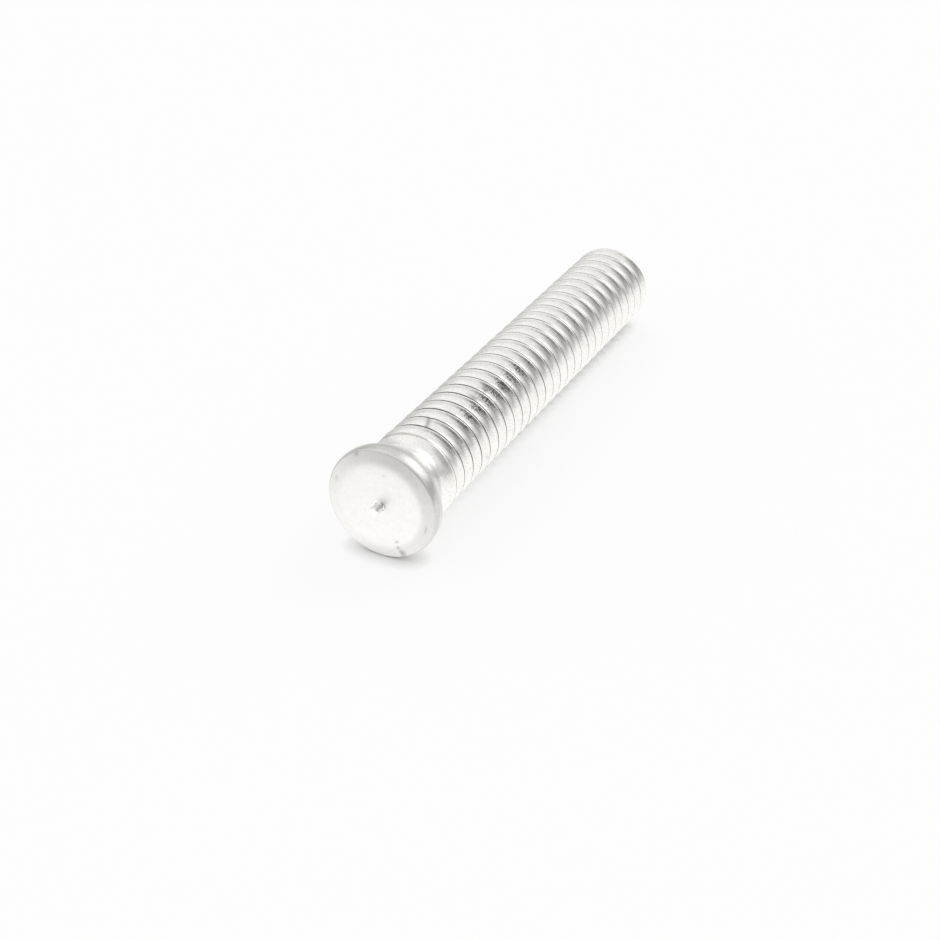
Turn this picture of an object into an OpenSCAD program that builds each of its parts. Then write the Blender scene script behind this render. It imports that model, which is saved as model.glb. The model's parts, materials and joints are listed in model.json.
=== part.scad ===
// Flanged weld stud for capacitor-discharge welding: one headed and thread-rolled piece of aluminium.
// It is drawn upright, with the middle of its weld face at height 0 and its thread above, and is then
// laid on its side, where it rests on the rim of its flange and on the last turn of its thread.

/* [Stud] */
// Length from the middle of the weld face to the thread end, without the ignition tip
stud_length = 38.1; // [20:0.1:60]
// Rounding of the edge of the thread end
end_r = 0.75; // [0.2:0.05:1]

/* [Flange] */
// Outside diameter of the flange
flange_d = 7.9; // [7.4:0.05:9.5]
// Thickness of the flange, from the middle of the weld face to its back
flange_t = 1.65; // [1.1:0.05:2]
// Diameter of the middle of the weld face, inside its bevel
face_d = 5.7; // [4.5:0.05:6.6]
// Angle of the weld face, a very low cone with the ignition tip at its peak
face_angle = 1.5; // [1:0.5:5]
// Fall of the bevel from the weld face to the rim
bevel_h = 0.28; // [0.1:0.02:0.3]
// Rounding of the front edge of the rim
rim_front_r = 0.15; // [0.05:0.01:0.25]
// Rounding of the back edge of the rim
rim_back_r = 0.5; // [0.2:0.05:0.6]

/* [Ignition tip] */
// Diameter of the ignition tip
tip_d = 0.64; // [0.4:0.02:1]
// Height of the ignition tip above the middle of the weld face
tip_h = 0.75; // [0.4:0.05:1.2]
// Rounding of the end of the ignition tip
tip_r = 0.08; // [0.02:0.01:0.15]

/* [Neck] */
// Diameter of the plain neck between the flange and the thread, which is that of the rolled blank
neck_d = 5.5; // [5.2:0.02:5.8]
// Length of the neck, from the back of the flange to the ramp of the first crest
neck_l = 2; // [1.5:0.05:2.6]
// Angle between the axis and the ramp from the neck up to the first crest
ramp_angle = 31; // [20:1:60]
// Fillet between the back of the flange and the neck
fillet_r = 0.4; // [0.1:0.05:0.5]

/* [Thread] */
// Outside diameter of the thread
thread_d = 6.24; // [6.1:0.01:7]
// Pitch of the thread: twenty turns to the inch
thread_pitch = 1.27; // [1.1:0.01:1.5]
// Angle between the two flanks of the groove
thread_angle = 60; // [55:1:62]
// Rounding of the bottom of the groove
root_r = 0.55; // [0.2:0.01:0.6]
// Distance from the back of the flange to the middle of the groove where it starts
thread_start_l = 2.78; // [2.5:0.01:4]
// Angle about the axis at which the groove starts
thread_start = 18; // [0:1:359]
// Turns over which the groove sinks to its full depth
run_in_turns = 0.35; // [0.2:0.05:1]

/* [Hidden] */

// Sides of a full circle, chords of a rounded edge and of the groove's bottom, and steps in one turn
round_fn = 48;
arc_steps = 8;
root_steps = 4;
steps_per_turn = 24;

flange_r = flange_d / 2;
face_r = face_d / 2;
tip_radius = tip_d / 2;
neck_r = neck_d / 2;
thread_r = thread_d / 2;
neck_z = flange_t + neck_l;
ramp_z = neck_z + (thread_r - neck_r) / tan(ramp_angle);
thread_z = flange_t + thread_start_l;
end_z = stud_length - end_r;

// The face falls to the bevel, and the bevel runs into the rounded edge of the rim
face_fall = face_r * tan(face_angle);
bevel_angle = atan(bevel_h / (flange_r - face_r));
rim_front_z = face_fall + (flange_r - rim_front_r - face_r) * tan(bevel_angle)
    + rim_front_r / cos(bevel_angle);
rim_back_z = flange_t - rim_back_r;

// The groove: two flanks that leave an eighth of the pitch as the crest, and a round bottom between them.
// It stands a little proud of the crest, so that it cuts through it
crest_share = 1 / 8;
groove_proud = 0.06;
groove_half = (1 - crest_share) * thread_pitch / 2;
flank_slope = tan(thread_angle / 2);
root_centre = groove_half / flank_slope - root_r / sin(thread_angle / 2);
groove_depth = root_centre + root_r;
root_sweep = 90 - thread_angle / 2;
groove_turns = (stud_length - thread_z) / thread_pitch + 1;
groove_steps = ceil(groove_turns * steps_per_turn);

// As the stud lies, its axis falls from the flange to the thread end by this angle
lying_tilt = atan((flange_r - thread_r) / (end_z - rim_back_z));
lying_height = rim_back_z * sin(lying_tilt) + (flange_r - rim_back_r) * cos(lying_tilt) + rim_back_r;
lying_front = -tip_h * cos(lying_tilt) - (tip_radius - tip_r) * sin(lying_tilt);
lying_back = stud_length * cos(lying_tilt) + (thread_r - end_r) * sin(lying_tilt);

module weld_stud() {
    color("gainsboro")
        lie_down()
            difference() {
                blank();
                thread_groove();
            }
}

// Lays the upright stud along +X with the middle of its outline over the origin
module lie_down() {
    translate([-(lying_front + lying_back) / 2, 0, lying_height])
        rotate([0, 90 + lying_tilt, 0])
            children();
}

function arc(centre, radius, from, to) = [
    for (i = [0 : arc_steps])
        let (a = from + (to - from) * i / arc_steps)
        centre + radius * [cos(a), sin(a)]
];

// The stud before its groove is rolled, turned about its axis
module blank() {
    tip = arc([tip_radius - tip_r, tip_r - tip_h], tip_r, -90, 0);
    rim_front = arc([flange_r - rim_front_r, rim_front_z], rim_front_r, bevel_angle - 90, 0);
    rim_back = arc([flange_r - rim_back_r, rim_back_z], rim_back_r, 0, 90);
    fillet = arc([neck_r + fillet_r, flange_t + fillet_r], fillet_r, -90, -180);
    thread_end = arc([thread_r - end_r, end_z], end_r, 0, 90);
    rotate_extrude($fn = round_fn)
        polygon(concat(
            [[0, -tip_h]],
            tip,
            [[tip_radius, tip_radius * tan(face_angle)], [face_r, face_fall]],
            rim_front,
            rim_back,
            fillet,
            [[neck_r, neck_z], [thread_r, ramp_z]],
            thread_end,
            [[0, stud_length]]
        ));
}

// The groove's outline in the plane of the axis, as radius past the crest and height past its middle
groove_outline = concat(
    [
        for (i = [0 : root_steps])
            let (a = root_sweep * (2 * i / root_steps - 1))
            [-root_centre - root_r * cos(a), root_r * sin(a)]
    ],
    [
        for (side = [1, -1])
            [groove_proud, side * (groove_half + groove_proud * flank_slope)]
    ]
);

// That outline after a number of turns: it starts outside the crest and sinks to its full depth
function groove_ring(turn) =
    let (
        angle = thread_start + 360 * turn,
        lift = max(0, (groove_depth + groove_proud) * (1 - turn / run_in_turns)),
        z = thread_z + thread_pitch * turn
    )
    [
        for (p = groove_outline)
            let (radius = thread_r + lift + p[0])
            [radius * cos(angle), radius * sin(angle), z + p[1]]
    ];

// One right-hand groove that runs out past the thread end
module thread_groove() {
    rings = [for (i = [0 : groove_steps]) groove_ring(i / steps_per_turn)];
    corners = len(rings[0]);
    last = corners * groove_steps;
    sides = [
        for (i = [0 : groove_steps - 1], k = [0 : corners - 1])
            let (a = corners * i + k, b = corners * i + (k + 1) % corners)
            each [[a, b + corners, b], [a, a + corners, b + corners]]
    ];
    start_cap = [for (k = [0 : corners - 1]) k];
    end_cap = [for (k = [corners - 1 : -1 : 0]) last + k];
    polyhedron([for (ring = rings) each ring], concat(sides, [start_cap, end_cap]));
}

weld_stud();
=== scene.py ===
"""Looks of a flanged aluminium weld stud that lies on a pale studio floor.

The stud is one headed and thread-rolled piece, so it is one mesh: rings from the ignition tip over the weld
face, the rim and the neck, a grid that follows the helix for the thread, and rings over the rounded end.
Lengths are in millimetres until the mesh is written, which is in metres.
"""

import json
import logging
import math
from dataclasses import dataclass, field
from enum import Enum

import bpy
import numpy as np
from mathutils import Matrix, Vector

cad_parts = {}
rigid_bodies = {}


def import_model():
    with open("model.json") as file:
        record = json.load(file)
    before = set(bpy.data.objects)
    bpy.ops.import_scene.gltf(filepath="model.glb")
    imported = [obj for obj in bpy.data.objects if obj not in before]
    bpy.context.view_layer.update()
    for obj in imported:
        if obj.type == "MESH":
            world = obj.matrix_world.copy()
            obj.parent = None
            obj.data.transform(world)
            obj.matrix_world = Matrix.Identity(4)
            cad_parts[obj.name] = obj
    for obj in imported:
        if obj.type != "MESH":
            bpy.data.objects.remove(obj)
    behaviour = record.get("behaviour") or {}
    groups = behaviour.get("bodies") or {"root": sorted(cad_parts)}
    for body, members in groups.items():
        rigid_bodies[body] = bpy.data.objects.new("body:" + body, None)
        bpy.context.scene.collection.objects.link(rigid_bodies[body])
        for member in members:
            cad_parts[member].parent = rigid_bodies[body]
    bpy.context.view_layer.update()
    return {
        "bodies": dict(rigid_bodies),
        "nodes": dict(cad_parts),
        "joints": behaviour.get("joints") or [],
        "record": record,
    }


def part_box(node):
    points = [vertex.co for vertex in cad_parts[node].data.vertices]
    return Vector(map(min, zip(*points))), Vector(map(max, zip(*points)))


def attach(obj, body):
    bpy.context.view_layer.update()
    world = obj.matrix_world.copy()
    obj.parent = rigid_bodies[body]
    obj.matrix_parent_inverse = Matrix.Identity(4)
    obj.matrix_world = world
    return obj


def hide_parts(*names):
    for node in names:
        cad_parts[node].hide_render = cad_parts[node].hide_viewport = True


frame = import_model()

MM = 0.001
NODE = "weld_stud"
BODY = "root"
PIECE = "weld_stud_dressed"
RUN = 5  # Place of the run among the values of a point
SMOOTH = {"interpolation_type": "SMOOTHSTEP"}

Array = np.ndarray
Number = float | np.ndarray
Pair = tuple[float, float]

log = logging.getLogger("weld_stud")


class Zone(Enum):
    """A stretch of the stud with a finish of its own; the value is its material's place on the mesh."""

    WELD_FACE = 0
    TIP = 1
    RIM_AND_NECK = 2
    THREAD = 3


def linear(hex_colour: str) -> tuple[float, float, float, float]:
    """Turns an sRGB hex colour into linear light, by the standard's curve.

    Args:
        hex_colour: Six hex digits after a hash mark.

    Returns:
        Red, green, blue and an alpha of 1.
    """
    shares = [int(hex_colour[i : i + 2], 16) / 255 for i in (1, 3, 5)]
    light = [s / 12.92 if s <= 0.04045 else ((s + 0.055) / 1.055) ** 2.4 for s in shares]
    return (*light, 1.0)


def add(
    tree: bpy.types.NodeTree, kind: str, inputs: dict[str | int, object] | tuple = (), **settings: object,
) -> bpy.types.Node:
    """Adds a node with its settings and links.

    Args:
        tree: The node tree.
        kind: The node's type.
        inputs: By name or place, or in their order: a value, a socket, or a node whose first output feeds it.
        settings: Attributes of the node.

    Returns:
        The new node.
    """
    node = tree.nodes.new(kind)
    for name, value in settings.items():
        setattr(node, name, value)
    for key, value in inputs.items() if isinstance(inputs, dict) else enumerate(inputs):
        feed = value.outputs[0] if isinstance(value, bpy.types.Node) else value
        if isinstance(feed, bpy.types.NodeSocket):
            tree.links.new(feed, node.inputs[key])
        else:
            node.inputs[key].default_value = feed
    return node


def bare_nodes(owner: bpy.types.Material | bpy.types.World) -> bpy.types.NodeTree:
    """Turns on the nodes of a material or a world, and removes those that it starts with.

    Args:
        owner: The material or world.

    Returns:
        Its empty node tree.
    """
    owner.use_nodes = True
    owner.node_tree.nodes.clear()
    return owner.node_tree


def in_scene(name: str, data: bpy.types.ID) -> bpy.types.Object:
    """Makes an object of its data, at the origin, and links it to the scene.

    Args:
        name: The object's name.
        data: Its mesh or camera.

    Returns:
        The new object.
    """
    made = bpy.data.objects.new(name, data)
    bpy.context.scene.collection.objects.link(made)
    return made


def turn_from(angle: Array, middle: float) -> Array:
    """Gives angles in radians from a middle in degrees, between minus and plus half a turn."""
    return np.angle(np.exp(1j * (angle - math.radians(middle))))


def line(start: Pair, stop: Pair, count: int) -> Array:
    """Gives count points evenly from start towards stop, rows of radius and height."""
    share = np.arange(count)[:, None] / count
    return np.array(start) + (np.array(stop) - np.array(start)) * share


def arc(centre: Pair, radius: float, start: float, stop: float, count: int) -> Array:
    """Gives points of a rounding: centre + radius * (cosine, sine) of even angles; 0 degrees is outwards."""
    angle = np.radians(np.linspace(start, stop, count))
    return np.array(centre) + radius * np.stack([np.cos(angle), np.sin(angle)], 1)


def bend(start: Pair, corner: Pair, stop: Pair, count: int) -> Array:
    """Gives points of a soft corner: (1-t)^2 start + 2t(1-t) corner + t^2 stop, without the last."""
    t = np.arange(count)[:, None] / count
    return (1 - t) ** 2 * np.array(start) + 2 * t * (1 - t) * np.array(corner) + t**2 * np.array(stop)


def ring_faces(rings: Array) -> Array:
    """Joins the points of closed rings to faces of four, counter-clockwise from outside."""
    after = np.roll(rings, -1, 1)
    return np.stack([rings[:-1], after[:-1], after[1:], rings[1:]], 2).reshape(-1, 4)


def step(value: Number, low: float, high: float) -> Number:
    """Rises smoothly from 0 at low to 1 at high, as 3t^2 - 2t^3."""
    t = np.clip((value - low) / (high - low), 0, 1)
    return t * t * (3 - 2 * t)


def unevenness(x: Array, y: Array, seed: int) -> Array:
    """Gives smooth random heights: values on a unit lattice, blended between its corners with 3t^2 - 2t^3.

    Args:
        x: First coordinate in lattice cells.
        y: Second coordinate in lattice cells.
        seed: Seed of the lattice.

    Returns:
        Heights between -1 and 1.
    """
    size = 256
    lattice = np.random.default_rng(seed).uniform(-1, 1, (size, size))
    column, row = np.floor(x).astype(int), np.floor(y).astype(int)
    tx, ty = step(x - column, 0, 1), step(y - row, 0, 1)
    corner = [[lattice[(column + i) % size, (row + k) % size] for k in (0, 1)] for i in (0, 1)]
    near = corner[0][0] * (1 - ty) + corner[0][1] * ty
    far = corner[1][0] * (1 - ty) + corner[1][1] * ty
    return near * (1 - tx) + far * tx


@dataclass(frozen=True)
class Ripple:
    """Smooth random relief that a tool leaves on the metal."""

    height: float  # Largest height
    rate: Pair  # Cells of the random lattice to one unit of each coordinate
    start: Pair  # Cell at which each coordinate is 0
    seed: int  # Seed of the lattice

    def at(self, x: Array, y: Array) -> Array:
        """Gives height * unevenness, with each coordinate times its rate plus its start."""
        cell_x, cell_y = x * self.rate[0] + self.start[0], y * self.rate[1] + self.start[1]
        return self.height * unevenness(cell_x, cell_y, self.seed)


@dataclass(frozen=True)
class Dent:
    """A small mark on the surface: a dip with the shape of a bell curve, dull in its middle. On the tip and
    beside its foot such marks are painted shade.
    """

    angle: float  # Angle about the axis in degrees, from the side that lies on the floor
    at: float  # Height along the axis, or radius on the weld face
    across: float  # Half width around the axis
    along: float  # Half width along the axis, or along the radius
    depth: float  # Depth of the dip; a negative one is a burr
    dark: float  # Share of dull colour in its middle, which on some marks is painted shade

    def share(self, angle: Array, radius: Array, place: Array) -> Array:
        """Gives the bell curve exp(-(arc / across)^2 - (gap / along)^2), 1 in the middle of the mark."""
        turn = turn_from(angle, self.angle)
        return np.exp(-((turn * radius / self.across) ** 2) - ((place - self.at) / self.along) ** 2)


@dataclass
class PointStore:
    """Collects the stud's points, ring by ring or row by row, and numbers them."""

    # Rows of angle, radius, height, turns along the helix, gap from the groove, run, and share of dull metal
    # and painted shade
    blocks: list[Array] = field(default_factory=list)
    count: int = 0  # Number of points so far

    def add(
        self, angle: Number, radius: Number, height: Number,
        turns: Number = 0.0, gap: Number = 0.0, run: Number = 0.0, scar_and_shade: Number = 0.0,
    ) -> Array:
        """Adds points.

        Args:
            angle: Angle about the axis in radians.
            radius: Distance from the axis.
            height: Height along the axis.
            turns: Turns along the helix.
            gap: Distance along the axis from the groove's middle.
            run: Length along the outline.
            scar_and_shade: Share of dull metal and painted shade.

        Returns:
            Their numbers, in the shape that the values share.
        """
        values = np.broadcast_arrays(angle, radius, height, turns, gap, run, scar_and_shade)
        self.blocks.append(np.stack([v.ravel() for v in values], 1).astype(float))
        index = self.count + np.arange(values[0].size).reshape(values[0].shape)
        self.count += values[0].size
        return index

    def columns(self) -> Array:
        """Gives the seven values of all points as columns."""
        return np.concatenate(self.blocks).T


@dataclass(frozen=True)
class ThreadWearAndShade:
    """Painted shade along each crest's edge towards the thread end, and where rolling tore the metal on one
    side.
    """

    torn_angle: float = 215.0  # Middle of the torn side in degrees
    torn_turn: float = 0.6  # Its half width in radians
    torn_z: float = 13.0  # Height of its middle
    torn_length: float = 9.0  # Its half length
    torn_from: Pair = (0.0, 0.3)  # Gaps past the groove's middle over which it begins
    torn_to: Pair = (0.54, 0.62)  # Gaps over which it ends
    crest_shade_gap: float = -0.57  # Gap from the groove's middle to the painted shade line, on the crest's edge towards the thread end
    crest_shade_lead: float = 0.2  # How far before the first crest the painted shade line starts
    crest_shade_fade: Pair = (0.3, 0.2)  # Distances before and past the end ring over which it ends
    heavy: float = 0.13  # How much wider the painted shade line is on one side, as a cosine
    heavy_turn: float = 0.9  # Middle of that side, in radians before the torn one
    heavy_width: float = 0.7  # Its half width in radians
    heavy_z: Pair = (8.0, 18.0)  # Heights over which it ends
    unshaded_end: float = 0.35  # How faint the painted shade line is at the thread end, 1 being no shade
    unshaded_z: Pair = (8.0, 38.0)  # Heights over which it gets so
    unshaded_even: float = 0.08  # How faint it is everywhere
    unshaded_ripple: Ripple = Ripple(0.08, (12.0, 0.0), (0.0, 0.0), 11)  # How that changes along the helix
    unshaded_start: float = 0.6  # How faint it is where it starts
    unshaded_start_z: Pair = (4.4, 5.0)  # Heights over which that is lost

    def torn(self, angle: Array, height: Array, gap: Array) -> Array:
        """Gives the share of torn metal: exp(-(turn / width)^2 - (dz / length)^4) on one flank of the groove.

        Args:
            angle: Angles in radians.
            height: Heights.
            gap: Gaps from the groove's middle.

        Returns:
            Shares from 0 to 1.
        """
        turn = turn_from(angle, self.torn_angle)
        middle = (turn / self.torn_turn) ** 2 + ((height - self.torn_z) / self.torn_length) ** 4
        return np.exp(-middle) * step(gap, *self.torn_from) * step(-gap, -self.torn_to[1], -self.torn_to[0])

    def crest_shade(self, angle: Array, height: Array, gap: Array, stud: "WeldStud") -> Array:
        """Gives the cosine of the way round one pitch from the painted shade line, larger where that line is
        wider.

        Args:
            angle: Angles in radians.
            height: Heights.
            gap: Gaps from the groove's middle.
            stud: The stud, for its pitch and the ends of its thread.

        Returns:
            1 on the painted shade line, -1 half a pitch away.
        """
        way = np.cos(2 * np.pi * (gap - self.crest_shade_gap) / stud.pitch)
        way = way * (height > stud.first_crest_z - self.crest_shade_lead)
        way = way * step(-height, -stud.end_z - self.crest_shade_fade[1], -stud.end_z + self.crest_shade_fade[0])
        turn = turn_from(angle, self.torn_angle) + self.heavy_turn
        side = np.exp(-((turn / self.heavy_width) ** 2))
        return way + self.heavy * side * step(-height, -self.heavy_z[1], -self.heavy_z[0])

    def clean(self, height: Array, turns: Array) -> Array:
        """Gives how faint the painted shade line is: it rises along the stud, with a ripple along the helix.

        Args:
            height: Heights.
            turns: Turns along the helix.

        Returns:
            Shares of the metal's colour that the line keeps.
        """
        along = self.unshaded_end * step(height, *self.unshaded_z)
        start = self.unshaded_start * step(-height, -self.unshaded_start_z[1], -self.unshaded_start_z[0])
        return along + self.unshaded_even + self.unshaded_ripple.at(turns, turns) + start


@dataclass
class WeldStud:
    """The stud: ignition tip, weld face, flange, neck, thread and rounded end, as one closed mesh.

    Heights run along the axis from the middle of the weld face to the thread end. Angles run about the axis
    from the side that lies on the floor, the way that the right-hand thread climbs.
    """

    origin: Array  # Middle of the weld face
    axis: Array  # Direction from the weld face to the thread end
    flange_r: float  # Radius of the flange
    thread_r: float  # Radius at the crest

    length: float = 38.1  # Height of the thread end
    end_r: float = 0.75  # Rounding of its edge
    tip_r: float = 0.32  # Radius of the ignition tip
    tip_h: float = 0.75  # Height of the tip
    tip_edge_r: float = 0.08  # Rounding of its end
    tip_foot_r: float = 0.06  # Rounding of its foot
    foot_gap: float = 0.04  # Distance from there to the face's first ring
    face_r: float = 2.85  # Radius where face and bevel would meet
    face_angle: float = 1.5  # Angle of the face in degrees
    bevel_h: float = 0.28  # Fall of the bevel
    bevel_blend: float = 0.48  # Half width of the soft corner between them
    bevel_even: float = 0.03  # Share of dull metal all round the bevel
    bevel_shade: float = 0.17  # Further share on one side, painted shade
    bevel_shade_angle: float = 238.0  # Angle of that side in degrees
    bevel_dull_shade_r: Pair = (0.1, 0.4)  # Distances inside and outside face_r over which it sets in
    bevel_dull_shade_z: float = 0.5  # Length at the flange's back over which it ends
    edge_shade: float = 0.35  # Share of painted shade on the front edge, opposite that side
    edge_shade_r: Pair = (0.17, 0.05)  # Distances inside flange_r over which it sets in
    edge_shade_z: Pair = (0.6, 0.9)  # Heights over which it ends
    flange_t: float = 1.65  # Thickness of the flange
    rim_front_r: float = 0.15  # Rounding of the rim's front edge
    rim_back_r: float = 0.5  # Rounding of its back edge
    rim_slope: float = 10.0  # Angle in degrees at which both meet the crown
    rim_crown: float = 0.03  # How far the rim's middle stands out
    fillet_r: float = 0.4  # Fillet between flange and neck
    neck_r: float = 2.75  # Least radius of the hollow neck
    neck_middle: float = 3.1  # Height of that radius
    neck_rise: float = 0.136  # Rise of the hollow
    neck_width: float = 0.389  # Half width of its bottom
    neck_z: float = 3.45  # Height at which the ramp starts
    neck_join: float = 0.1  # How far before it the head's rings meet the thread's rows
    first_crest_z: float = 4.42  # Height of the first crest
    first_crest_rise: float = 0.05  # How far it stands out past the others
    ramp_power: float = 2.3  # How hollow the ramp is
    ramp_past: float = 0.2  # Share of its length by which the ramp goes on past that crest
    pitch: float = 1.27  # Pitch of the thread
    crest_share: float = 1 / 8  # Width of the crest in pitches
    crest_edge_r: float = 0.05  # Rounding of its edges
    root_r: float = 0.55  # Rounding of the groove's bottom
    flank_angle: float = 30.0  # Angle of a flank in degrees
    groove_z: float = 4.43  # Height at which the groove starts
    groove_start: float = 18.0  # Angle at which it starts, in degrees
    run_in_turns: float = 0.35  # Turns over which it sinks in
    groove_soft: float = 0.04  # Depth over which its edges are softened

    # Unevenness of the head, by millimetres
    head_ripple: Ripple = Ripple(0.004, (1.1, 1.1), (40.0, 40.0), 5)
    head_ripple_r: Pair = (0.6, 1.2)  # Radii over which it sets in
    head_ripple_z: float = 0.5  # Length before the thread over which it ends
    crest_ripple: Ripple = Ripple(0.008, (9.0, 0.0), (0.0, 0.0), 3)  # Unevenness of the crest, by turns
    # Unevenness of the groove, by turns and millimetres
    groove_ripple: Ripple = Ripple(0.004, (50.0, 5.0), (0.0, 20.0), 8)

    columns: int = 104  # Points in a ring
    rows_per_pitch: int = 26  # Rows of the thread in one pitch
    end_rows: int = 26  # Rings of the rounded end
    end_face_rows: int = 6  # Rings of the flat end

    dents: tuple[Dent, ...] = (  # Marks on the thread
        Dent(181.0, 6.55, 0.12, 0.55, 0.09, 0.6),
        Dent(223.5, 8.30, 0.22, 0.18, -0.05, 0.2),
        Dent(281.0, 9.69, 0.20, 0.16, -0.05, 0.2),
        Dent(230.0, 5.95, 0.40, 0.16, 0.04, 0.4),
        Dent(199.0, 11.6, 0.35, 0.16, 0.06, 0.5),
        Dent(203.0, 13.0, 0.30, 0.16, 0.07, 0.6),
        Dent(219.0, 14.3, 0.40, 0.18, 0.05, 0.5),
        Dent(229.0, 12.7, 0.30, 0.14, 0.05, 0.5),
        Dent(220.0, 17.4, 0.40, 0.16, 0.05, 0.5),
    )
    tip_shade: tuple[Dent, ...] = (Dent(300.0, -0.25, 0.09, 0.3, 0.0, 0.85),)  # Painted shade down one side of the tip
    face_marks: tuple[Dent, ...] = (  # Marks on face and bevel
        # Painted shade: a dark arc on the face beside the tip's foot
        Dent(250.0, 0.41, 0.22, 0.05, 0.01, 0.6),
        Dent(188.4, 2.38, 0.10, 0.10, 0.02, 0.3),
        Dent(151.6, 3.75, 0.14, 0.12, 0.04, 0.4),
        Dent(332.8, 2.66, 0.12, 0.08, 0.03, 0.5),
        Dent(335.4, 3.09, 0.12, 0.08, 0.03, 0.5),
        Dent(334.5, 3.60, 0.12, 0.28, 0.09, 0.7),
        Dent(285.7, 3.39, 0.25, 0.06, 0.02, 0.3),
        Dent(109.3, 3.45, 0.14, 0.10, 0.02, 0.3),
    )
    wear_and_shade: ThreadWearAndShade = ThreadWearAndShade()  # What rolling did to the thread, and the painted shade along its crests

    @classmethod
    def from_frame(cls, packed: dict) -> "WeldStud":
        """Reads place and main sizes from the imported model: its mounts and the box of its node.


        Returns:
            The stud, not yet built.
        """
        mounts = {mount["name"]: mount for mount in packed["record"]["mounts"]}
        low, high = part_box(NODE)
        return cls(
            origin=np.array(mounts["weld_face"]["pos_m"]) / MM,
            axis=np.array(mounts["thread"]["axis"], float),
            flange_r=(high.y - low.y) / 2 / MM,
            thread_r=mounts["thread"]["dims"]["r_mm"],
        )

    @property
    def angles(self) -> Array:
        """Angle of each column in radians."""
        return 2 * np.pi * np.arange(self.columns) / self.columns

    @property
    def neck_end(self) -> float:
        """Height of the ring where the head's rings meet the thread's rows."""
        return self.neck_z - self.neck_join

    @property
    def end_z(self) -> float:
        """Height of the ring where the thread's rows meet the rings of the rounded end."""
        return self.length - self.end_r

    def neck(self, height: Number) -> Number:
        """Gives the hollow neck's radius: least + rise * (sqrt(1 + (dz / width)^2) - 1)."""
        away = (height - self.neck_middle) / self.neck_width
        return self.neck_r + self.neck_rise * (np.hypot(1, away) - 1)

    def head_outline(self) -> tuple[Array, Array]:
        """Gives the outline from the end of the ignition tip to the neck, and the zone of each of its points.

        Straight stretches, arcs and soft corners follow each other. The last value of each is its number of
        points.

        Returns:
            Rows of radius and height, and the zone values.
        """
        fall = math.tan(math.radians(self.face_angle))
        steep = self.bevel_h / (self.flange_r - self.face_r)
        bevel = math.atan(steep)
        front_r = self.flange_r - self.rim_front_r
        front_z = self.face_r * fall + (front_r - self.face_r) * steep + self.rim_front_r / math.cos(bevel)
        back_z = self.flange_t - self.rim_back_r
        foot = (self.tip_r + self.tip_foot_r, self.tip_r * fall - self.tip_foot_r)
        first = foot[0] + self.foot_gap
        inner, outer = self.face_r - self.bevel_blend, self.face_r + self.bevel_blend
        face_edge = (self.face_r, self.face_r * fall)
        bevel_start = (outer, face_edge[1] + self.bevel_blend * steep)
        front_r, back_r = front_r - self.rim_crown, self.flange_r - self.rim_back_r - self.rim_crown
        rim_front = arc((front_r, front_z), self.rim_front_r, math.degrees(bevel) - 90, -self.rim_slope, 9)
        rim_back = arc((back_r, back_z), self.rim_back_r, self.rim_slope, 90, 12)
        crown = (self.flange_r + self.rim_crown, (rim_front[-1, 1] + rim_back[0, 1]) / 2)
        tip_edge = (self.tip_r - self.tip_edge_r, self.tip_edge_r - self.tip_h)
        tip = [
            line((0.0, -self.tip_h), (tip_edge[0], -self.tip_h), 4)[1:],
            arc(tip_edge, self.tip_edge_r, -90, 0, 7),
            line((self.tip_r, tip_edge[1]), (self.tip_r, foot[1]), 6)[1:],
            arc(foot, self.tip_foot_r, 180, 90 + self.face_angle, 5),
        ]
        face = [
            line((first, first * fall), (inner, inner * fall), 20),
            bend((inner, inner * fall), face_edge, bevel_start, 9),
            line(bevel_start, tuple(rim_front[0]), 10),
            rim_front[:-1],
        ]
        rim = [bend(tuple(rim_front[-1]), crown, tuple(rim_back[0]), 8), rim_back]
        neck_height = np.linspace(self.flange_t + self.fillet_r, self.neck_end, 17)[:-1]
        neck = np.stack([self.neck(neck_height), neck_height], 1)
        fillet_centre = (neck[0, 0] + self.fillet_r, self.flange_t + self.fillet_r)
        shaft = [arc(fillet_centre, self.fillet_r, -90, -180, 9)[:-1], neck]
        outline = np.concatenate(tip + face + rim + shaft)
        counts = [sum(map(len, part)) for part in (tip, face, rim + shaft)]
        zones = np.repeat([zone.value for zone in (Zone.TIP, Zone.WELD_FACE, Zone.RIM_AND_NECK)], counts)
        return outline, zones

    def dull_and_shaded_flange(self, radius: Array, height: Array) -> Array:
        """Gives the share of dull colour: even dull metal round the bevel, painted shade as a squared cosine
        about one side of it, and painted shade on the front edge.

        Args:
            radius: Radii of the rings, as a column.
            height: Their heights.

        Returns:
            Shares, ring by ring.
        """
        towards = np.cos((self.angles - math.radians(self.bevel_shade_angle)) / 2) ** 2
        inside, outside = self.bevel_dull_shade_r
        on_bevel = step(radius, self.face_r - inside, self.face_r + outside)
        on_bevel = on_bevel * step(-height, -self.flange_t, self.bevel_dull_shade_z - self.flange_t)
        on_edge = step(radius, self.flange_r - self.edge_shade_r[0], self.flange_r - self.edge_shade_r[1])
        on_edge = on_edge * step(-height, -self.edge_shade_z[1], -self.edge_shade_z[0])
        bevel = (self.bevel_even + self.bevel_shade * towards) * on_bevel
        return bevel + self.edge_shade * (1 - towards) * on_edge

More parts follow.
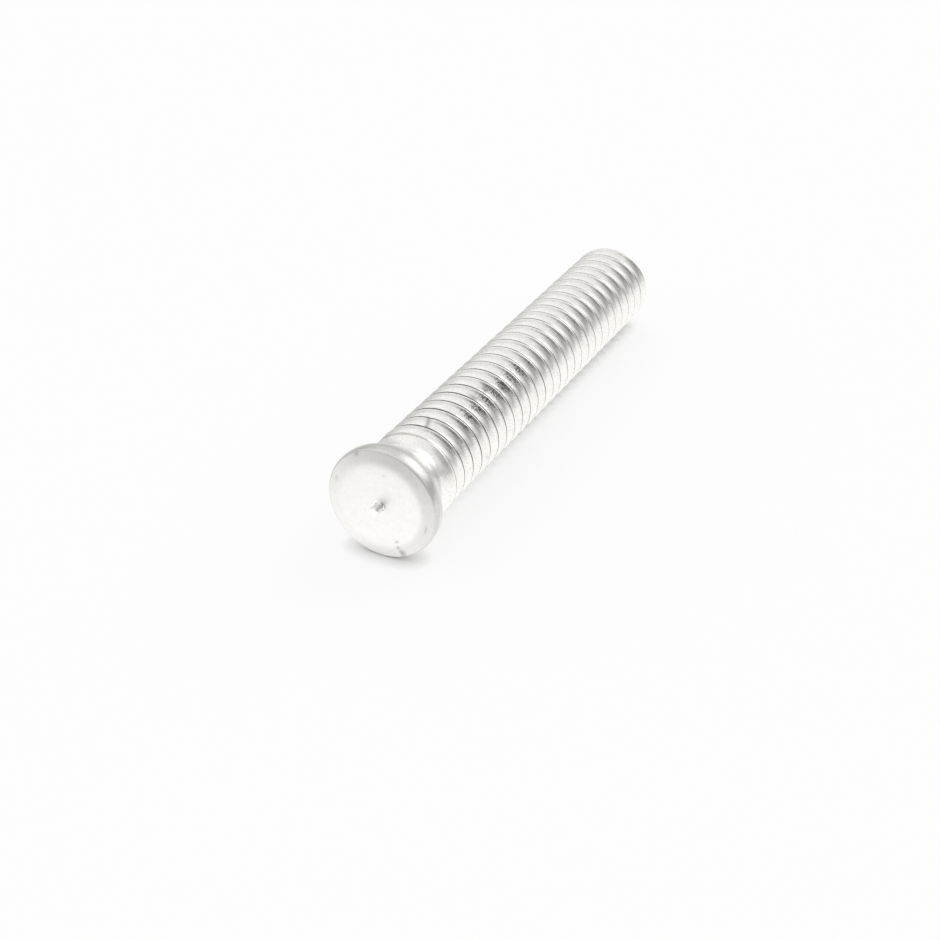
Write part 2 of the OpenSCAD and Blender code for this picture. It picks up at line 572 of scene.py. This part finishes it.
    def head_points(self, store: PointStore) -> tuple[Array, Array]:
        """Turns the head's outline about the axis, a little uneven as pressed metal is, with its marks.

        Each point moves along the outline's normal by the unevenness less the depth of the marks.

        Args:
            store: Where the points go.

        Returns:
            Numbers of the points, ring by ring, and the zone of each ring.
        """
        outline, zones = self.head_outline()
        slope = np.gradient(outline, axis=0)
        slope /= np.linalg.norm(slope, axis=1)[:, None]
        last = [[self.neck(self.neck_end), self.neck_end]]
        steps = np.linalg.norm(np.diff(outline, axis=0, append=last), axis=1)
        run = self.neck_end - np.cumsum(steps[::-1])[::-1, None]
        radius, height = outline[:, :1], outline[:, 1:]
        angle = self.angles[None]
        on_face = (zones < Zone.RIM_AND_NECK.value)[:, None]
        on_tip = (zones == Zone.TIP.value)[:, None]
        shares = [mark.share(angle, radius, radius) for mark in self.face_marks]
        marks = sum(mark.depth * share for mark, share in zip(self.face_marks, shares)) * on_face
        scar_and_shade = sum(mark.dark * share for mark, share in zip(self.face_marks, shares)) * on_face
        # Painted shade down one side of the tip
        edge = sum(mark.dark * mark.share(angle, radius, height) for mark in self.tip_shade) * on_tip
        across, up = radius * np.cos(self.angles), radius * np.sin(self.angles)
        wave = self.head_ripple.at(across, up + height / self.head_ripple.rate[1])
        wave = wave * step(radius, *self.head_ripple_r)
        push = wave * step(self.neck_end - height, 0, self.head_ripple_z) - marks
        moved_radius, moved_height = radius + push * slope[:, 1:], height - push * slope[:, :1]
        # Adds even dull metal round the bevel, and painted shade on one side of the bevel, on the rim's front
        # edge and down one side of the tip
        scar_and_shade = scar_and_shade + self.dull_and_shaded_flange(radius, height) + edge
        return store.add(angle, moved_radius, moved_height, run=run, scar_and_shade=scar_and_shade), zones

    def groove(self, gap: Array) -> Array:
        """Gives how far the surface lies below the crest.

        The bottom is an arc, the flanks are straight, and an arc rounds each crest edge.

        Args:
            gap: Gaps along the axis from the groove's middle.

        Returns:
            Depths.
        """
        gap = np.abs(gap)
        flank = math.radians(self.flank_angle)
        half = (1 - self.crest_share) * self.pitch / 2
        sharp = half / math.tan(flank)
        root_centre = sharp - self.root_r / math.sin(flank)
        bottom = root_centre + np.sqrt(np.maximum(self.root_r**2 - gap**2, 0))
        side = sharp - gap / math.tan(flank)
        turn = math.pi / 2 - flank
        edge_run = self.crest_edge_r * math.tan(turn / 2)
        edge_centre = half + edge_run
        top = self.crest_edge_r - np.sqrt(np.maximum(self.crest_edge_r**2 - (edge_centre - gap) ** 2, 0))
        depth = np.where(gap < self.root_r * math.cos(flank), bottom, side)
        depth = np.where(gap > half - edge_run * math.cos(turn), top, depth)
        return np.where(gap > edge_centre, 0.0, depth)

    def pitch_rows(self) -> Array:
        """Places the rows of one pitch, closer where the outline turns.

        The outline's length plus a set length for each radian that it turns is shared out evenly.

        Returns:
            Gaps from minus to plus half a pitch.
        """
        turn_weight, samples = 0.3, 4001
        gap = np.linspace(-self.pitch / 2, self.pitch / 2, samples)
        depth = self.groove(gap)
        slope = np.arctan(np.gradient(depth, gap))
        measure = np.hypot(np.diff(gap), np.diff(depth)) + turn_weight * np.abs(np.diff(slope))
        total = np.concatenate([[0], np.cumsum(measure)])
        return np.interp(np.arange(self.rows_per_pitch) / self.rows_per_pitch * total[-1], total, gap)

    def thread_surface(self, angle: Array, height: Array) -> tuple[Array, Array, Array]:
        """Gives the shank's radius: the smaller of the turned blank and the helical groove.

        The blank is the neck, a hollow ramp to the first crest, the crest and the rounded end. The groove's
        middle climbs one pitch each turn; it starts outside the crest and sinks in.

        Args:
            angle: Angles in radians.
            height: Heights.

        Returns:
            Radii, turns along the helix and gaps from the groove's middle.
        """
        turns = angle / (2 * np.pi) - self.groove_start / 360
        turns = turns + np.round((height - self.groove_z) / self.pitch - turns)
        gap = height - self.groove_z - self.pitch * turns
        crest = self.thread_r + self.first_crest_rise * np.exp(-((height - self.first_crest_z) ** 2))
        crest = crest + self.crest_ripple.at(turns, turns)
        climb = (height - self.neck_z) / (self.first_crest_z - self.neck_z)
        climb = np.clip(climb, 0, 1 + self.ramp_past)
        past = np.clip(height - self.end_z, 0, self.end_r)
        foot = self.neck(np.minimum(height, self.neck_z))
        blank = np.minimum(foot + (crest - foot) * climb**self.ramp_power, crest)
        blank = blank - (self.end_r - np.sqrt(self.end_r**2 - past**2))
        lift = np.maximum(0, self.groove(np.zeros(1)) * (1 - turns / self.run_in_turns))
        cut = crest + lift - self.groove(gap) + self.groove_ripple.at(turns, gap)
        overlap = np.maximum(self.groove_soft - np.abs(blank - cut), 0) / self.groove_soft
        radius = np.minimum(blank, cut) - overlap**2 * self.groove_soft / 4
        for dent in self.dents:
            radius = radius - dent.depth * dent.share(angle, radius, height)
        return radius, turns, gap

    def thread_points(self, store: PointStore) -> tuple[Array, Array]:
        """Works out the thread's grid; its rows follow the helix from a ring on the neck to one at the end.

        Row j of column c lies at the row's height plus pitch * c / columns, so once round leads to the row
        one pitch further on. A point that would pass one of the two rings is that ring's.

        Args:
            store: Where the points go.

        Returns:
            Numbers of the grid's points, row by row, and of the ring at the end.
        """
        start = self.groove_z - self.pitch * self.groove_start / 360
        first = math.floor((self.neck_end - start) / self.pitch) - 1
        last = math.ceil((self.end_z - start) / self.pitch) + 1
        rows = (start + self.pitch * np.arange(first, last + 1)[:, None] + self.pitch_rows()[None]).ravel()
        height = rows[:, None] + self.pitch * np.arange(self.columns) / self.columns
        angle = np.broadcast_to(self.angles, height.shape)
        free = (height > self.neck_end) & (height < self.end_z)
        rings = []
        for level in (self.neck_end, self.end_z):
            radius, turns, gap = self.thread_surface(self.angles, np.full(self.columns, level))
            rings.append(store.add(self.angles, radius, level, turns, gap, level))
        radius, turns, gap = self.thread_surface(angle[free], height[free])
        index = np.where(height <= self.neck_end, rings[0], rings[1])
        scar_and_shade = sum(dent.dark * dent.share(angle[free], radius, height[free]) for dent in self.dents)
        index[free] = store.add(angle[free], radius, height[free], turns, gap, height[free], scar_and_shade)
        return index, rings[1]

    def end_points(self, store: PointStore) -> Array:
        """Rounds the thread end: heights follow the sine of even angles, then a flat face shrinks inwards.

        Args:
            store: Where the points go.

        Returns:
            Numbers of the points, ring by ring.
        """
        height = self.end_z + self.end_r * np.sin(np.linspace(0, np.pi / 2, self.end_rows + 1))[1:, None]
        angle, height = np.broadcast_arrays(self.angles[None], height)
        radius, turns, gap = self.thread_surface(angle, height)
        flat_r = self.thread_r - self.end_r
        inner = flat_r * np.arange(self.end_face_rows - 1, 0, -1)[:, None] / self.end_face_rows
        edge = store.add(angle, np.maximum(radius, flat_r), height, turns, gap, height)
        flat = store.add(self.angles[None], inner, self.length, run=self.length + flat_r - inner)
        return np.concatenate([edge, flat])

    def build(self) -> bpy.types.Object:
        """Joins head, thread and end into one closed mesh, with a pole at each end of the axis.

        Returns:
            The stud's object, at the origin.
        """
        store = PointStore()
        head, zones = self.head_points(store)
        tip_run = store.columns()[RUN, 0]
        thread, end_ring = self.thread_points(store)
        end = np.concatenate([end_ring[None], self.end_points(store)])
        tip_pole = store.add(np.zeros(1), 0.0, -self.tip_h, run=tip_run)
        end_pole = store.add(np.zeros(1), 0.0, self.length, run=self.length + self.thread_r - self.end_r)
        head = np.concatenate([np.repeat(tip_pole, self.columns)[None], head, thread[:1]])
        end = np.concatenate([end, np.repeat(end_pole, self.columns)[None]])
        stretches = [
            (ring_faces(head), np.repeat(np.concatenate([zones[:1], zones]), self.columns)),
            (self.helix_faces(thread), Zone.THREAD.value),
            (ring_faces(end), Zone.THREAD.value),
        ]
        faces = np.concatenate([stretch for stretch, _ in stretches])
        zone = np.concatenate([np.broadcast_to(value, len(stretch)) for stretch, value in stretches])
        return self.mesh(store.columns(), faces, zone)

    def helix_faces(self, index: Array) -> Array:
        """Joins neighbouring points of the helical grid; its last column meets the first one pitch on.

        Args:
            index: Numbers of the points, row by row.

        Returns:
            Rows of four points, counter-clockwise from outside.
        """
        shift = self.rows_per_pitch
        beyond = np.concatenate([index[shift:, 0], np.repeat(index[-1:, 0], shift)])
        after = np.concatenate([index[:, 1:], beyond[:, None]], 1)
        return np.stack([index[:-1], after[:-1], after[1:], index[1:]], 2).reshape(-1, 4)

    def mesh(self, columns: Array, faces: Array, zone: Array) -> bpy.types.Object:
        """Writes the mesh in metres: origin + axis * height + radius * (cos angle * down + sin angle * side).

        Args:
            columns: The seven values of all points.
            faces: Four corners of each face; two that are the same make it a triangle.
            zone: Zone value of each face.

        Returns:
            The new object.
        """
        angle, radius, height = columns[:3]
        side = np.array([0.0, 1.0, 0.0])
        down = np.cross(side, self.axis)
        out = np.cos(angle)[:, None] * down + np.sin(angle)[:, None] * side
        points = (self.origin + height[:, None] * self.axis + radius[:, None] * out) * MM
        same = faces == np.roll(faces, -1, 1)
        whole = same.sum(1) < 2
        faces, same, zone = faces[whole], same[whole], zone[whole]
        corners = 4 - same.sum(1)
        data = bpy.data.meshes.new(PIECE)
        data.vertices.add(len(points))
        data.vertices.foreach_set("co", points.astype(np.float32).ravel())
        data.loops.add(int(corners.sum()))
        data.loops.foreach_set("vertex_index", faces[~same].astype(np.int32))
        data.polygons.add(len(faces))
        data.polygons.foreach_set("loop_start", (np.cumsum(corners) - corners).astype(np.int32))
        data.polygons.foreach_set("material_index", zone.astype(np.int32))
        data.polygons.foreach_set("use_smooth", np.ones(len(faces), bool))
        for name, vector in self.surface_maps(columns).items():
            attribute = data.attributes.new(name, "FLOAT_VECTOR", "POINT")
            attribute.data.foreach_set("vector", vector.astype(np.float32).ravel())
        data.update(calc_edges=True)
        return in_scene(PIECE, data)

    def surface_maps(self, columns: Array) -> dict[str, Array]:
        """Gives what the finishes read, with lengths in millimetres.

        Args:
            columns: The seven values of all points.

        Returns:
            "turned": cosine and sine of the angle, times the crest's radius on the thread, a radius that
            shrinks to 0 on the flat end or the true one on the head, and the run along the outline.
            "wear_and_shade": the way from the painted shade line, the share of torn metal, and how faint that
            line is.
            "scar_and_shade": the share of dull metal and painted shade.
        """
        angle, radius, height, turns, gap, run, scar_and_shade = columns
        crest_shade = self.wear_and_shade.crest_shade(angle, height, gap, self)
        torn = self.wear_and_shade.torn(angle, height, gap) * (run > self.neck_end)
        on_end = radius * self.thread_r / (self.thread_r - self.end_r)
        across = np.where(height > self.neck_end, np.minimum(on_end, self.thread_r), radius)
        return {
            "turned": np.stack([across * np.cos(angle), across * np.sin(angle), run], 1),
            "wear_and_shade": np.stack([crest_shade, torn, self.wear_and_shade.clean(height, turns)], 1),
            "scar_and_shade": np.stack([scar_and_shade, scar_and_shade, scar_and_shade], 1),
        }

    def dress(self, piece: bpy.types.Object) -> None:
        """Gives each zone of the stud its finish.

        Args:
            piece: The stud's object.
        """
        finishes = {finish.zone: finish for finish in FINISHES}
        for zone in Zone:
            piece.data.materials.append(finishes[zone].material())


@dataclass(frozen=True)
class Aluminium:
    """Bare aluminium as a tool left it: a metal whose gloss and fine relief come from that tool.

    One pixel of the main view covers about 0.07 mm. The metal's grains are a few hundredths of a millimetre
    across, too fine to show, so they are drawn an eighth of a millimetre across.
    """

    name: str  # What the metal is and how its surface was made
    zone: Zone  # The stretch of the stud that has it
    colour: str  # Clean metal
    dull_and_shade: str  # Dull metal in hollows and marks, and the colour of painted shade
    shading: float  # Share of dull metal at the strongest marks
    gloss: Pair  # Lowest and highest roughness
    relief: float  # Height of the fine relief
    # Size of the tool's marks, across the stud in two directions and along the outline
    mark_size: tuple[float, float, float]
    grain_size: float = 0.125  # Size of the grains
    grain_share: float = 1.2  # Their height as a share of the relief
    speck: float = 0.0  # Share of dull metal at the strongest grains
    mark_range: Pair = (0.3, 0.7)  # Noise values of the weakest and the strongest mark
    grain_range: Pair = (0.45, 0.75)  # Noise values between which specks set in
    crest_shade_range: Pair = (0.86, 0.93)  # Cosines from the painted shade line between which it sets in
    # Size of the tears in the metal, like mark_size
    tear_size: tuple[float, float, float] = (2 / 15, 2 / 15, 1 / 15)
    tear_range: Pair = (0.47, 0.55)  # Noise values between which they set in
    tear_clean: float = 0.15  # How clean the metal is in a tear

    def material(self) -> bpy.types.Material:
        """Builds the material: the tool's marks set its gloss, its shade and its relief.

        Returns:
            The new material.
        """
        made = bpy.data.materials.new(self.name)
        tree = bare_nodes(made)
        turned = add(tree, "ShaderNodeAttribute", attribute_name="turned").outputs["Vector"]
        scale = tuple(1 / size for size in self.mark_size)
        spread = add(tree, "ShaderNodeMapping", {"Vector": turned, "Scale": scale})
        marks = add(
            tree, "ShaderNodeTexNoise", {"Vector": spread, "Scale": 1.0, "Detail": 4.0, "Roughness": 0.6},
        )
        rough = add(tree, "ShaderNodeMapRange", (marks, *self.mark_range, *self.gloss))
        shaded = add(tree, "ShaderNodeMapRange", (marks, *self.mark_range, 1.0, 1.0 - self.shading))
        fine = add(tree, "ShaderNodeMapping", {"Vector": turned, "Scale": (1 / self.grain_size,) * 3})
        grains = add(
            tree, "ShaderNodeTexNoise", {"Vector": fine, "Scale": 1.0, "Detail": 2.0, "Roughness": 0.5},
        )
        specks = add(tree, "ShaderNodeMapRange", (grains, *self.grain_range, 1.0, 1.0 - self.speck))
        even = add(tree, "ShaderNodeMath", (shaded, specks), operation="MULTIPLY")
        # The mix of dull and clean colour also carries painted shade, along the crests and on the head
        clean = self.worn_and_shaded(tree, turned, even)
        colour = add(
            tree, "ShaderNodeMix", {0: clean, 6: linear(self.dull_and_shade), 7: linear(self.colour)}, data_type="RGBA",
        )
        height = add(tree, "ShaderNodeMath", (grains, self.grain_share, marks), operation="MULTIPLY_ADD")
        bump = add(
            tree, "ShaderNodeBump", {"Height": height, "Strength": 1.0, "Distance": self.relief * MM},
        )
        metal = add(
            tree, "ShaderNodeBsdfPrincipled",
            {"Base Color": colour.outputs[2], "Metallic": 1.0, "Roughness": rough, "Normal": bump},
        )
        add(tree, "ShaderNodeOutputMaterial", {"Surface": metal})
        return made

    def worn_and_shaded(
        self, tree: bpy.types.NodeTree, turned: bpy.types.NodeSocket, clean: bpy.types.Node,
    ) -> bpy.types.Node:
        """Darkens the metal with painted shade along the crest's edge, where rolling tore it, and in its
        scars and the painted shade of the head.

        Args:
            tree: The material's nodes.
            turned: The map that the tool's marks follow.
            clean: How clean and unshaded the metal is, 1 being both.

        Returns:
            The node that says how clean and unshaded it is with these marks and painted shade.
        """
        wear_and_shade = add(tree, "ShaderNodeAttribute", attribute_name="wear_and_shade").outputs["Vector"]
        crest_shade, torn, kept = add(tree, "ShaderNodeSeparateXYZ", (wear_and_shade,)).outputs
        # Painted shade along each crest's edge towards the thread end
        crest_unshaded = add(tree, "ShaderNodeMapRange", (crest_shade, *self.crest_shade_range, 1.0, kept), **SMOOTH)
        scale = tuple(1 / size for size in self.tear_size)
        fine = add(tree, "ShaderNodeMapping", {"Vector": turned, "Scale": scale})
        tears = add(
            tree, "ShaderNodeTexNoise", {"Vector": fine, "Scale": 1.0, "Detail": 3.0, "Roughness": 0.8},
        )
        deep = add(tree, "ShaderNodeMath", (tears, torn), operation="MULTIPLY")
        whole = add(tree, "ShaderNodeMapRange", (deep, *self.tear_range, 1.0, self.tear_clean), **SMOOTH)
        scar_and_shade = add(tree, "ShaderNodeAttribute", attribute_name="scar_and_shade").outputs["Fac"]
        sound_and_unshaded = add(tree, "ShaderNodeMath", (1.0, scar_and_shade), operation="SUBTRACT", use_clamp=True)
        for share in (crest_unshaded, sound_and_unshaded, whole):
            clean = add(tree, "ShaderNodeMath", (share, clean), operation="MULTIPLY")
        return clean


FINISHES: tuple[Aluminium, ...] = (
    # A flat die presses the weld face to an even satin. It spreads the light of the floor and the sky, so the
    # face looks almost evenly white and mirrors nothing sharply. The die's marks are 0.33 mm across.
    Aluminium(
        name="pressed_aluminium_weld_face", zone=Zone.WELD_FACE, colour="#FDFCFA", dull_and_shade="#4C4B49",
        shading=0.04, gloss=(0.42, 0.5), relief=0.0008, mark_size=(1 / 3,) * 3, speck=0.04,
    ),
    # The tip's metal slid into a small hole in the die, which drew it smooth. It is glossier than the face
    # and mirrors it softly. Its marks are 0.25 mm across.
    Aluminium(
        name="drawn_aluminium_tip", zone=Zone.TIP, colour="#FEFDFB", dull_and_shade="#4C4B49",
        shading=0.05, gloss=(0.18, 0.28), relief=0.0005, mark_size=(1 / 4,) * 3,
    ),
    # Heading dragged the rim and the neck along the die. That leaves faint lines round the stud, 2.2 mm long
    # and 0.14 mm wide, and grey specks, which break up its highlights.
    Aluminium(
        name="headed_aluminium_rim", zone=Zone.RIM_AND_NECK, colour="#F5F4F0", dull_and_shade="#6E6D6A",
        shading=0.25, gloss=(0.22, 0.33), relief=0.005, mark_size=(20 / 9, 20 / 9, 1 / 7), speck=0.2,
    ),
    # Rolling dies burnish the thread, so it mirrors sky and floor in soft bands, a little broken by grains
    # and by marks 0.5 mm long and 0.17 mm wide. Its tears are drawn 0.13 mm long and 0.07 mm wide, one or two
    # pixels, because finer ones don't show.
    Aluminium(
        name="rolled_aluminium_thread", zone=Zone.THREAD, colour="#FAF9F5", dull_and_shade="#3C3B38",
        shading=0.06, gloss=(0.19, 0.28), relief=0.004, mark_size=(1 / 2, 1 / 2, 1 / 6), grain_share=2.0,
        speck=0.14,
    ),
)


@dataclass(frozen=True)
class Glow:
    """A round, soft-edged patch of the sky."""

    turn: float  # Direction seen from above, in degrees clockwise from the way the camera looks
    climb: float  # Height above level, in degrees
    reach: float  # Half width of its even part, in degrees
    fade: float  # Width of its soft edge, in degrees
    strength: float  # Light that it adds; a negative one takes light away

    def direction(self, heading: float) -> tuple[float, float, float]:
        """Gives the unit vector to its middle, for the camera's heading in degrees from +X towards +Y."""
        turn, climb = math.radians(heading - self.turn), math.radians(self.climb)
        return (math.cos(turn) * math.cos(climb), math.sin(turn) * math.cos(climb), math.sin(climb))


@dataclass(frozen=True)
class Studio:
    """Pale floor, soft light all round and a camera that looks down on the flange end."""

    aim: tuple[float, float, float] = (-11.442, -2.850, 3.5)  # Point that the camera looks at
    distance: float = 123.005  # Distance from the camera to it
    heading: float = 26.781  # Direction of the view seen from above, in degrees from +X towards +Y
    down: float = 32.098  # Angle of the view below level, in degrees
    view_angle: float = 28.457  # Width of the view in degrees
    clip: Pair = (1.0, 20000.0)  # Nearest and furthest distance that the camera sees
    floor_half: float = 1500.0  # Half the side of the floor
    floor_colour: str = "#FEFEFE"  # Colour of the floor
    floor_glow: float = 0.78  # Share of the floor's white that the camera sees without shadow
    floor_white: float = 1.025  # Light of that white
    backdrop_white: float = 0.985  # Light of the backdrop past the floor
    contact: float = 1.15  # Distance within which the stud takes the floor's white away
    contact_power: float = 1.8  # How steeply it falls towards the stud
    contact_rays: int = 16  # Rays by which the floor looks for the stud
    mirror_glow: float = 0.9  # Share of the floor's white that the metal mirrors without shadow
    sheet: Pair = (2.0, 55.0)  # Distances beside the stud over which the mirrored floor turns grey
    sheet_white: float = 1.19  # Light of the mirrored floor near the stud
    level: Pair = (0.74, 1.14)  # Light of the sky near the floor and overhead
    level_climb: Pair = (0.1, 0.7)  # Sines of the climb between which it changes
    darkest: float = 0.05  # Least light of the sky
    glows: tuple[Glow, ...] = (  # Brighter and darker patches of the sky
        Glow(50.0, 32.0, 7.0, 20.0, 1.2),
        Glow(-45.0, 38.0, 25.0, 35.0, 0.12),
        Glow(195.0, 13.0, 9.0, 22.0, -0.62),
        Glow(148.0, 33.0, 10.0, 22.0, -0.45),
    )

    def camera(self) -> bpy.types.Object:
        """Sets the camera level, with no roll, at its distance from the point that it looks at.

        Returns:
            The camera, which the scene then uses.
        """
        heading, down = math.radians(self.heading), math.radians(self.down)
        flat = math.cos(down)
        forward = Vector((math.cos(heading) * flat, math.sin(heading) * flat, -math.sin(down)))
        data = bpy.data.cameras.new("camera")
        data.sensor_fit = "HORIZONTAL"
        data.angle = math.radians(self.view_angle)
        data.clip_start, data.clip_end = self.clip[0] * MM, self.clip[1] * MM
        holder = in_scene("camera", data)
        holder.location = (Vector(self.aim) - forward * self.distance) * MM
        holder.rotation_euler = forward.to_track_quat("-Z", "Y").to_euler()
        bpy.context.scene.camera = holder
        return holder

    def paper(self) -> bpy.types.Material:
        """Makes the floor's matt white paper; camera and metal see part of its white free of shadow.

        Paper that is lit evenly looks white up to a soft, narrow shadow where the stud touches it.

        Returns:
            The new material.
        """
        made = bpy.data.materials.new("matt_white_paper")
        tree = bare_nodes(made)
        colour = linear(self.floor_colour)
        matt = add(tree, "ShaderNodeBsdfDiffuse", {"Color": colour})
        white = add(tree, "ShaderNodeEmission", {"Color": colour, "Strength": self.floor_white})
        place = add(tree, "ShaderNodeTexCoord").outputs["Object"]
        across = add(tree, "ShaderNodeSeparateXYZ", (place,)).outputs["Y"]
        away = add(tree, "ShaderNodeMath", (across,), operation="ABSOLUTE")
        near, far = self.sheet[0] * MM, self.sheet[1] * MM
        paler = add(tree, "ShaderNodeMapRange", (away, near, far, self.sheet_white, self.level[0]))
        mirrored = add(tree, "ShaderNodeEmission", {"Color": colour, "Strength": paler})
        path = add(tree, "ShaderNodeLightPath").outputs
        open_sky = add(
            tree, "ShaderNodeAmbientOcclusion", {"Distance": self.contact * MM}, samples=self.contact_rays,
        ).outputs["AO"]
        clear = add(tree, "ShaderNodeMath", (open_sky, self.contact_power), operation="POWER")
        glow = add(tree, "ShaderNodeMath", (clear, self.floor_glow), operation="MULTIPLY")
        seen = add(tree, "ShaderNodeMath", (path["Is Camera Ray"], glow), operation="MULTIPLY")
        shown = add(tree, "ShaderNodeMixShader", (seen, matt, white))
        gleam = add(tree, "ShaderNodeMath", (open_sky, self.mirror_glow), operation="MULTIPLY")
        glossy = add(tree, "ShaderNodeMath", (path["Is Glossy Ray"], gleam), operation="MULTIPLY")
        both = add(tree, "ShaderNodeMixShader", (glossy, shown, mirrored))
        add(tree, "ShaderNodeOutputMaterial", {"Surface": both})
        return made

    def floor(self) -> bpy.types.Object:
        """Lays a square of pale, matt floor at the height that the stud rests on.

        Returns:
            The floor's object.
        """
        half = self.floor_half * MM
        corners = [(-half, -half, 0), (half, -half, 0), (half, half, 0), (-half, half, 0)]
        data = bpy.data.meshes.new("floor")
        data.from_pydata(corners, [], [(0, 1, 2, 3)])
        data.materials.append(self.paper())
        piece = in_scene("floor", data)
        return piece

    def light(self) -> None:
        """Lights the scene from the whole sky, grey near the floor, with brighter and darker patches.

        The camera itself sees a plain white backdrop there.
        """
        world = bpy.data.worlds.new("soft_sky")
        bpy.context.scene.world = world
        tree = bare_nodes(world)
        sight = add(tree, "ShaderNodeTexCoord").outputs["Generated"]
        rise = add(tree, "ShaderNodeSeparateXYZ", (sight,)).outputs["Z"]
        total = add(tree, "ShaderNodeMapRange", (rise, *self.level_climb, *self.level), **SMOOTH)
        for glow in self.glows:
            middle = glow.direction(self.heading)
            towards = add(tree, "ShaderNodeVectorMath", (sight, middle), operation="DOT_PRODUCT")
            edge = [math.cos(math.radians(width)) for width in (glow.reach + glow.fade, glow.reach)]
            values = (towards.outputs["Value"], *edge, 0.0, glow.strength)
            patch = add(tree, "ShaderNodeMapRange", values, **SMOOTH)
            total = add(tree, "ShaderNodeMath", (total, patch), operation="ADD")
        kept = add(tree, "ShaderNodeMath", (total, self.darkest), operation="MAXIMUM")
        seen = add(tree, "ShaderNodeLightPath").outputs["Is Camera Ray"]
        shown = add(tree, "ShaderNodeMix", {0: seen, 2: kept, 3: self.backdrop_white}, data_type="FLOAT")
        sky = add(tree, "ShaderNodeBackground", {"Strength": shown})
        add(tree, "ShaderNodeOutputWorld", {"Surface": sky})


def main() -> None:
    """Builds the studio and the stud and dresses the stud."""
    logging.basicConfig(level=logging.INFO, format="%(name)s: %(message)s")
    bpy.context.scene.view_settings.view_transform = "Standard"
    studio = Studio()
    studio.camera()
    floor = studio.floor()
    log.info("%s: %d faces", floor.name, len(floor.data.polygons))
    studio.light()
    stud = WeldStud.from_frame(frame)
    piece = stud.build()
    stud.dress(piece)
    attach(piece, BODY)
    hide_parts(NODE)
    log.info("%s: %d points, %d faces", piece.name, len(piece.data.vertices), len(piece.data.polygons))


if __name__ == "__main__":
    main()
